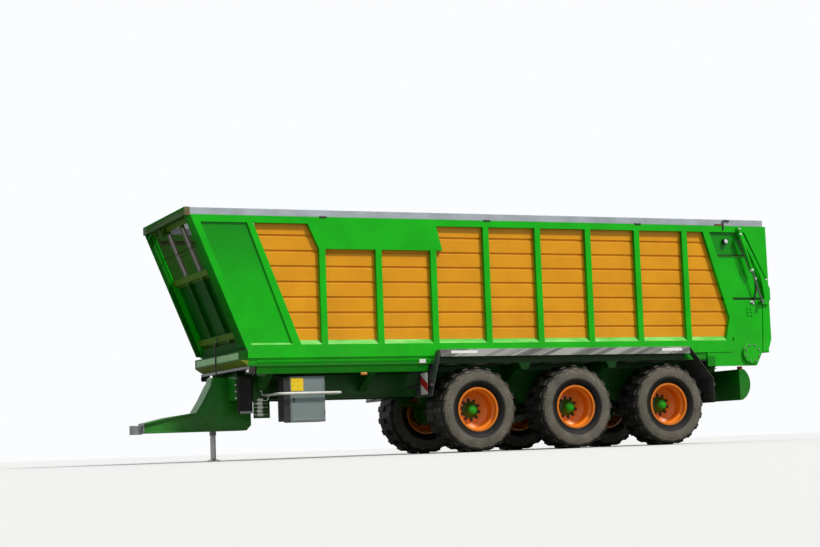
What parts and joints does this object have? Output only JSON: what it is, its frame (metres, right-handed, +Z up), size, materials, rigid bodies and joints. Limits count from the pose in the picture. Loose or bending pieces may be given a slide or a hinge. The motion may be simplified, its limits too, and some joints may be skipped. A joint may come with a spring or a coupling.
{
  "type": "silage trailer",
  "caption": "Three-axle silage trailer with ribbed corrugated sides, leaning headboard, scraper floor, top-hung tailgate and steered outer axles.",
  "frame": {"origin": "on the ground under the middle of the whole trailer", "axes": "+X forward to the coupling, +Y to the trailer's left, +Z up"},
  "size_m": [11.3, 2.84, 3.92],
  "materials": {
    "body_green": "gloss",
    "chassis_green": "gloss",
    "sheet_yellow": "gloss",
    "board_aluminium": "satin",
    "fender_steel": "satin",
    "tyre": "dusty",
    "rim_orange": "gloss",
    "rubber": "matte",
    "grille_dark": "matte",
    "bare_steel": "satin",
    "rod_steel": "polished",
    "cylinder_dark": "gloss",
    "lamp_red": "gloss",
    "box_grey": "gloss",
    "bar_white": "gloss"
  },
  "bodies": {
    "trailer": {"axle_beams": "chassis_green", "body_floor": "bare_steel", "chassis_frame": "chassis_green", "control_box": "box_grey", "conveyor_drive": "body_green", "coupling_head": "bare_steel", "drawbar": "chassis_green", "fenders": "fender_steel", "floor_conveyor": "bare_steel", "guard_bar": "bar_white", "headboard": "body_green", "headboard_grille": "grille_dark", "jack_tube": "bare_steel", "lamps": "lamp_red", "mud_flaps": "rubber", "rear_bumper": "chassis_green", "side_frames": "body_green", "side_sheets": "sheet_yellow", "suspension_arms": "chassis_green", "suspension_cylinders": "rod_steel", "top_boards": "board_aluminium"},
    "knuckle_front_left": {"knuckle_front_left": "chassis_green"},
    "knuckle_front_right": {"knuckle_front_right": "chassis_green"},
    "track_rod_front": {"track_rod_front": "chassis_green"},
    "knuckle_rear_left": {"knuckle_rear_left": "chassis_green"},
    "knuckle_rear_right": {"knuckle_rear_right": "chassis_green"},
    "track_rod_rear": {"track_rod_rear": "chassis_green"},
    "wheel_front_left": {"wheel_front_left": "rim_orange", "tyre_front_left": "tyre"},
    "wheel_front_right": {"wheel_front_right": "rim_orange", "tyre_front_right": "tyre"},
    "wheel_middle_left": {"wheel_middle_left": "rim_orange", "tyre_middle_left": "tyre"},
    "wheel_middle_right": {"wheel_middle_right": "rim_orange", "tyre_middle_right": "tyre"},
    "wheel_rear_left": {"wheel_rear_left": "rim_orange", "tyre_rear_left": "tyre"},
    "wheel_rear_right": {"wheel_rear_right": "rim_orange", "tyre_rear_right": "tyre"},
    "tailgate": {"tailgate": "body_green"},
    "tailgate_cylinder_left": {"tailgate_cylinder_left": "cylinder_dark"},
    "tailgate_rod_left": {"tailgate_rod_left": "rod_steel"},
    "tailgate_cylinder_right": {"tailgate_cylinder_right": "cylinder_dark"},
    "tailgate_rod_right": {"tailgate_rod_right": "rod_steel"},
    "jack_leg": {"jack_leg": "rod_steel"}
  },
  "joints": [
    {"name": "steer_front_left", "type": "hinge", "parent": "trailer", "child": "knuckle_front_left", "pos_m": [0.21, 0.65, 0.69], "axis": [0, 0, 1], "range_deg": [-12, 12]},
    {"name": "steer_front_right", "type": "hinge", "parent": "trailer", "child": "knuckle_front_right", "pos_m": [0.21, -0.65, 0.69], "axis": [0, 0, 1], "range_deg": [-12, 12]},
    {"name": "track_rod_front_pivot", "type": "hinge", "parent": "knuckle_front_left", "child": "track_rod_front", "pos_m": [-0.05, 0.65, 0.56], "axis": [0, 0, 1], "range_deg": [-12, 12]},
    {"name": "steer_rear_left", "type": "hinge", "parent": "trailer", "child": "knuckle_rear_left", "pos_m": [-3.41, 0.65, 0.69], "axis": [0, 0, 1], "range_deg": [-12, 12]},
    {"name": "steer_rear_right", "type": "hinge", "parent": "trailer", "child": "knuckle_rear_right", "pos_m": [-3.41, -0.65, 0.69], "axis": [0, 0, 1], "range_deg": [-12, 12]},
    {"name": "track_rod_rear_pivot", "type": "hinge", "parent": "knuckle_rear_left", "child": "track_rod_rear", "pos_m": [-3.67, 0.65, 0.56], "axis": [0, 0, 1], "range_deg": [-12, 12]},
    {"name": "spin_front_left", "type": "hinge", "parent": "knuckle_front_left", "child": "wheel_front_left", "pos_m": [0.21, 1.05, 0.69], "axis": [0, 1, 0], "continuous": true},
    {"name": "spin_front_right", "type": "hinge", "parent": "knuckle_front_right", "child": "wheel_front_right", "pos_m": [0.21, -1.05, 0.69], "axis": [0, 1, 0], "continuous": true},
    {"name": "spin_middle_left", "type": "hinge", "parent": "trailer", "child": "wheel_middle_left", "pos_m": [-1.6, 1.05, 0.69], "axis": [0, 1, 0], "continuous": true},
    {"name": "spin_middle_right", "type": "hinge", "parent": "trailer", "child": "wheel_middle_right", "pos_m": [-1.6, -1.05, 0.69], "axis": [0, 1, 0], "continuous": true},
    {"name": "spin_rear_left", "type": "hinge", "parent": "knuckle_rear_left", "child": "wheel_rear_left", "pos_m": [-3.41, 1.05, 0.69], "axis": [0, 1, 0], "continuous": true},
    {"name": "spin_rear_right", "type": "hinge", "parent": "knuckle_rear_right", "child": "wheel_rear_right", "pos_m": [-3.41, -1.05, 0.69], "axis": [0, 1, 0], "continuous": true},
    {"name": "tailgate_swing", "type": "hinge", "parent": "trailer", "child": "tailgate", "pos_m": [-5.066, 0, 3.745], "axis": [0, 1, 0], "range_deg": [0, 85]},
    {"name": "cylinder_left_swing", "type": "hinge", "parent": "trailer", "child": "tailgate_cylinder_left", "pos_m": [-5.045, 1.33, 3.64], "axis": [0, 1, 0], "range_deg": [0, 86.87]},
    {"name": "rod_left_slide", "type": "slide", "parent": "tailgate_cylinder_left", "child": "tailgate_rod_left", "axis": [-0.315, 0, -0.9491], "range_m": [0, 0.1389]},
    {"name": "cylinder_right_swing", "type": "hinge", "parent": "trailer", "child": "tailgate_cylinder_right", "pos_m": [-5.045, -1.33, 3.64], "axis": [0, 1, 0], "range_deg": [0, 86.87]},
    {"name": "rod_right_slide", "type": "slide", "parent": "tailgate_cylinder_right", "child": "tailgate_rod_right", "axis": [-0.315, 0, -0.9491], "range_m": [0, 0.1389]},
    {"name": "jack_slide", "type": "slide", "parent": "trailer", "child": "jack_leg", "axis": [0, 0, 1], "range_m": [0, 0.37]}
  ],
  "couplings": [
    {"joint": "steer_front_right", "follows": "steer_front_left", "ratio": 1},
    {"joint": "track_rod_front_pivot", "follows": "steer_front_left", "ratio": -1},
    {"joint": "steer_rear_left", "follows": "steer_front_left", "ratio": -1},
    {"joint": "steer_rear_right", "follows": "steer_front_left", "ratio": -1},
    {"joint": "track_rod_rear_pivot", "follows": "steer_front_left", "ratio": 1},
    {"joint": "cylinder_left_swing", "follows": "tailgate_swing", "ratio": 1.0214},
    {"joint": "rod_left_slide", "follows": "tailgate_swing", "m_per_rad": 0.093319},
    {"joint": "cylinder_right_swing", "follows": "tailgate_swing", "ratio": 1.0214},
    {"joint": "rod_right_slide", "follows": "tailgate_swing", "m_per_rad": 0.093319}
  ]
}
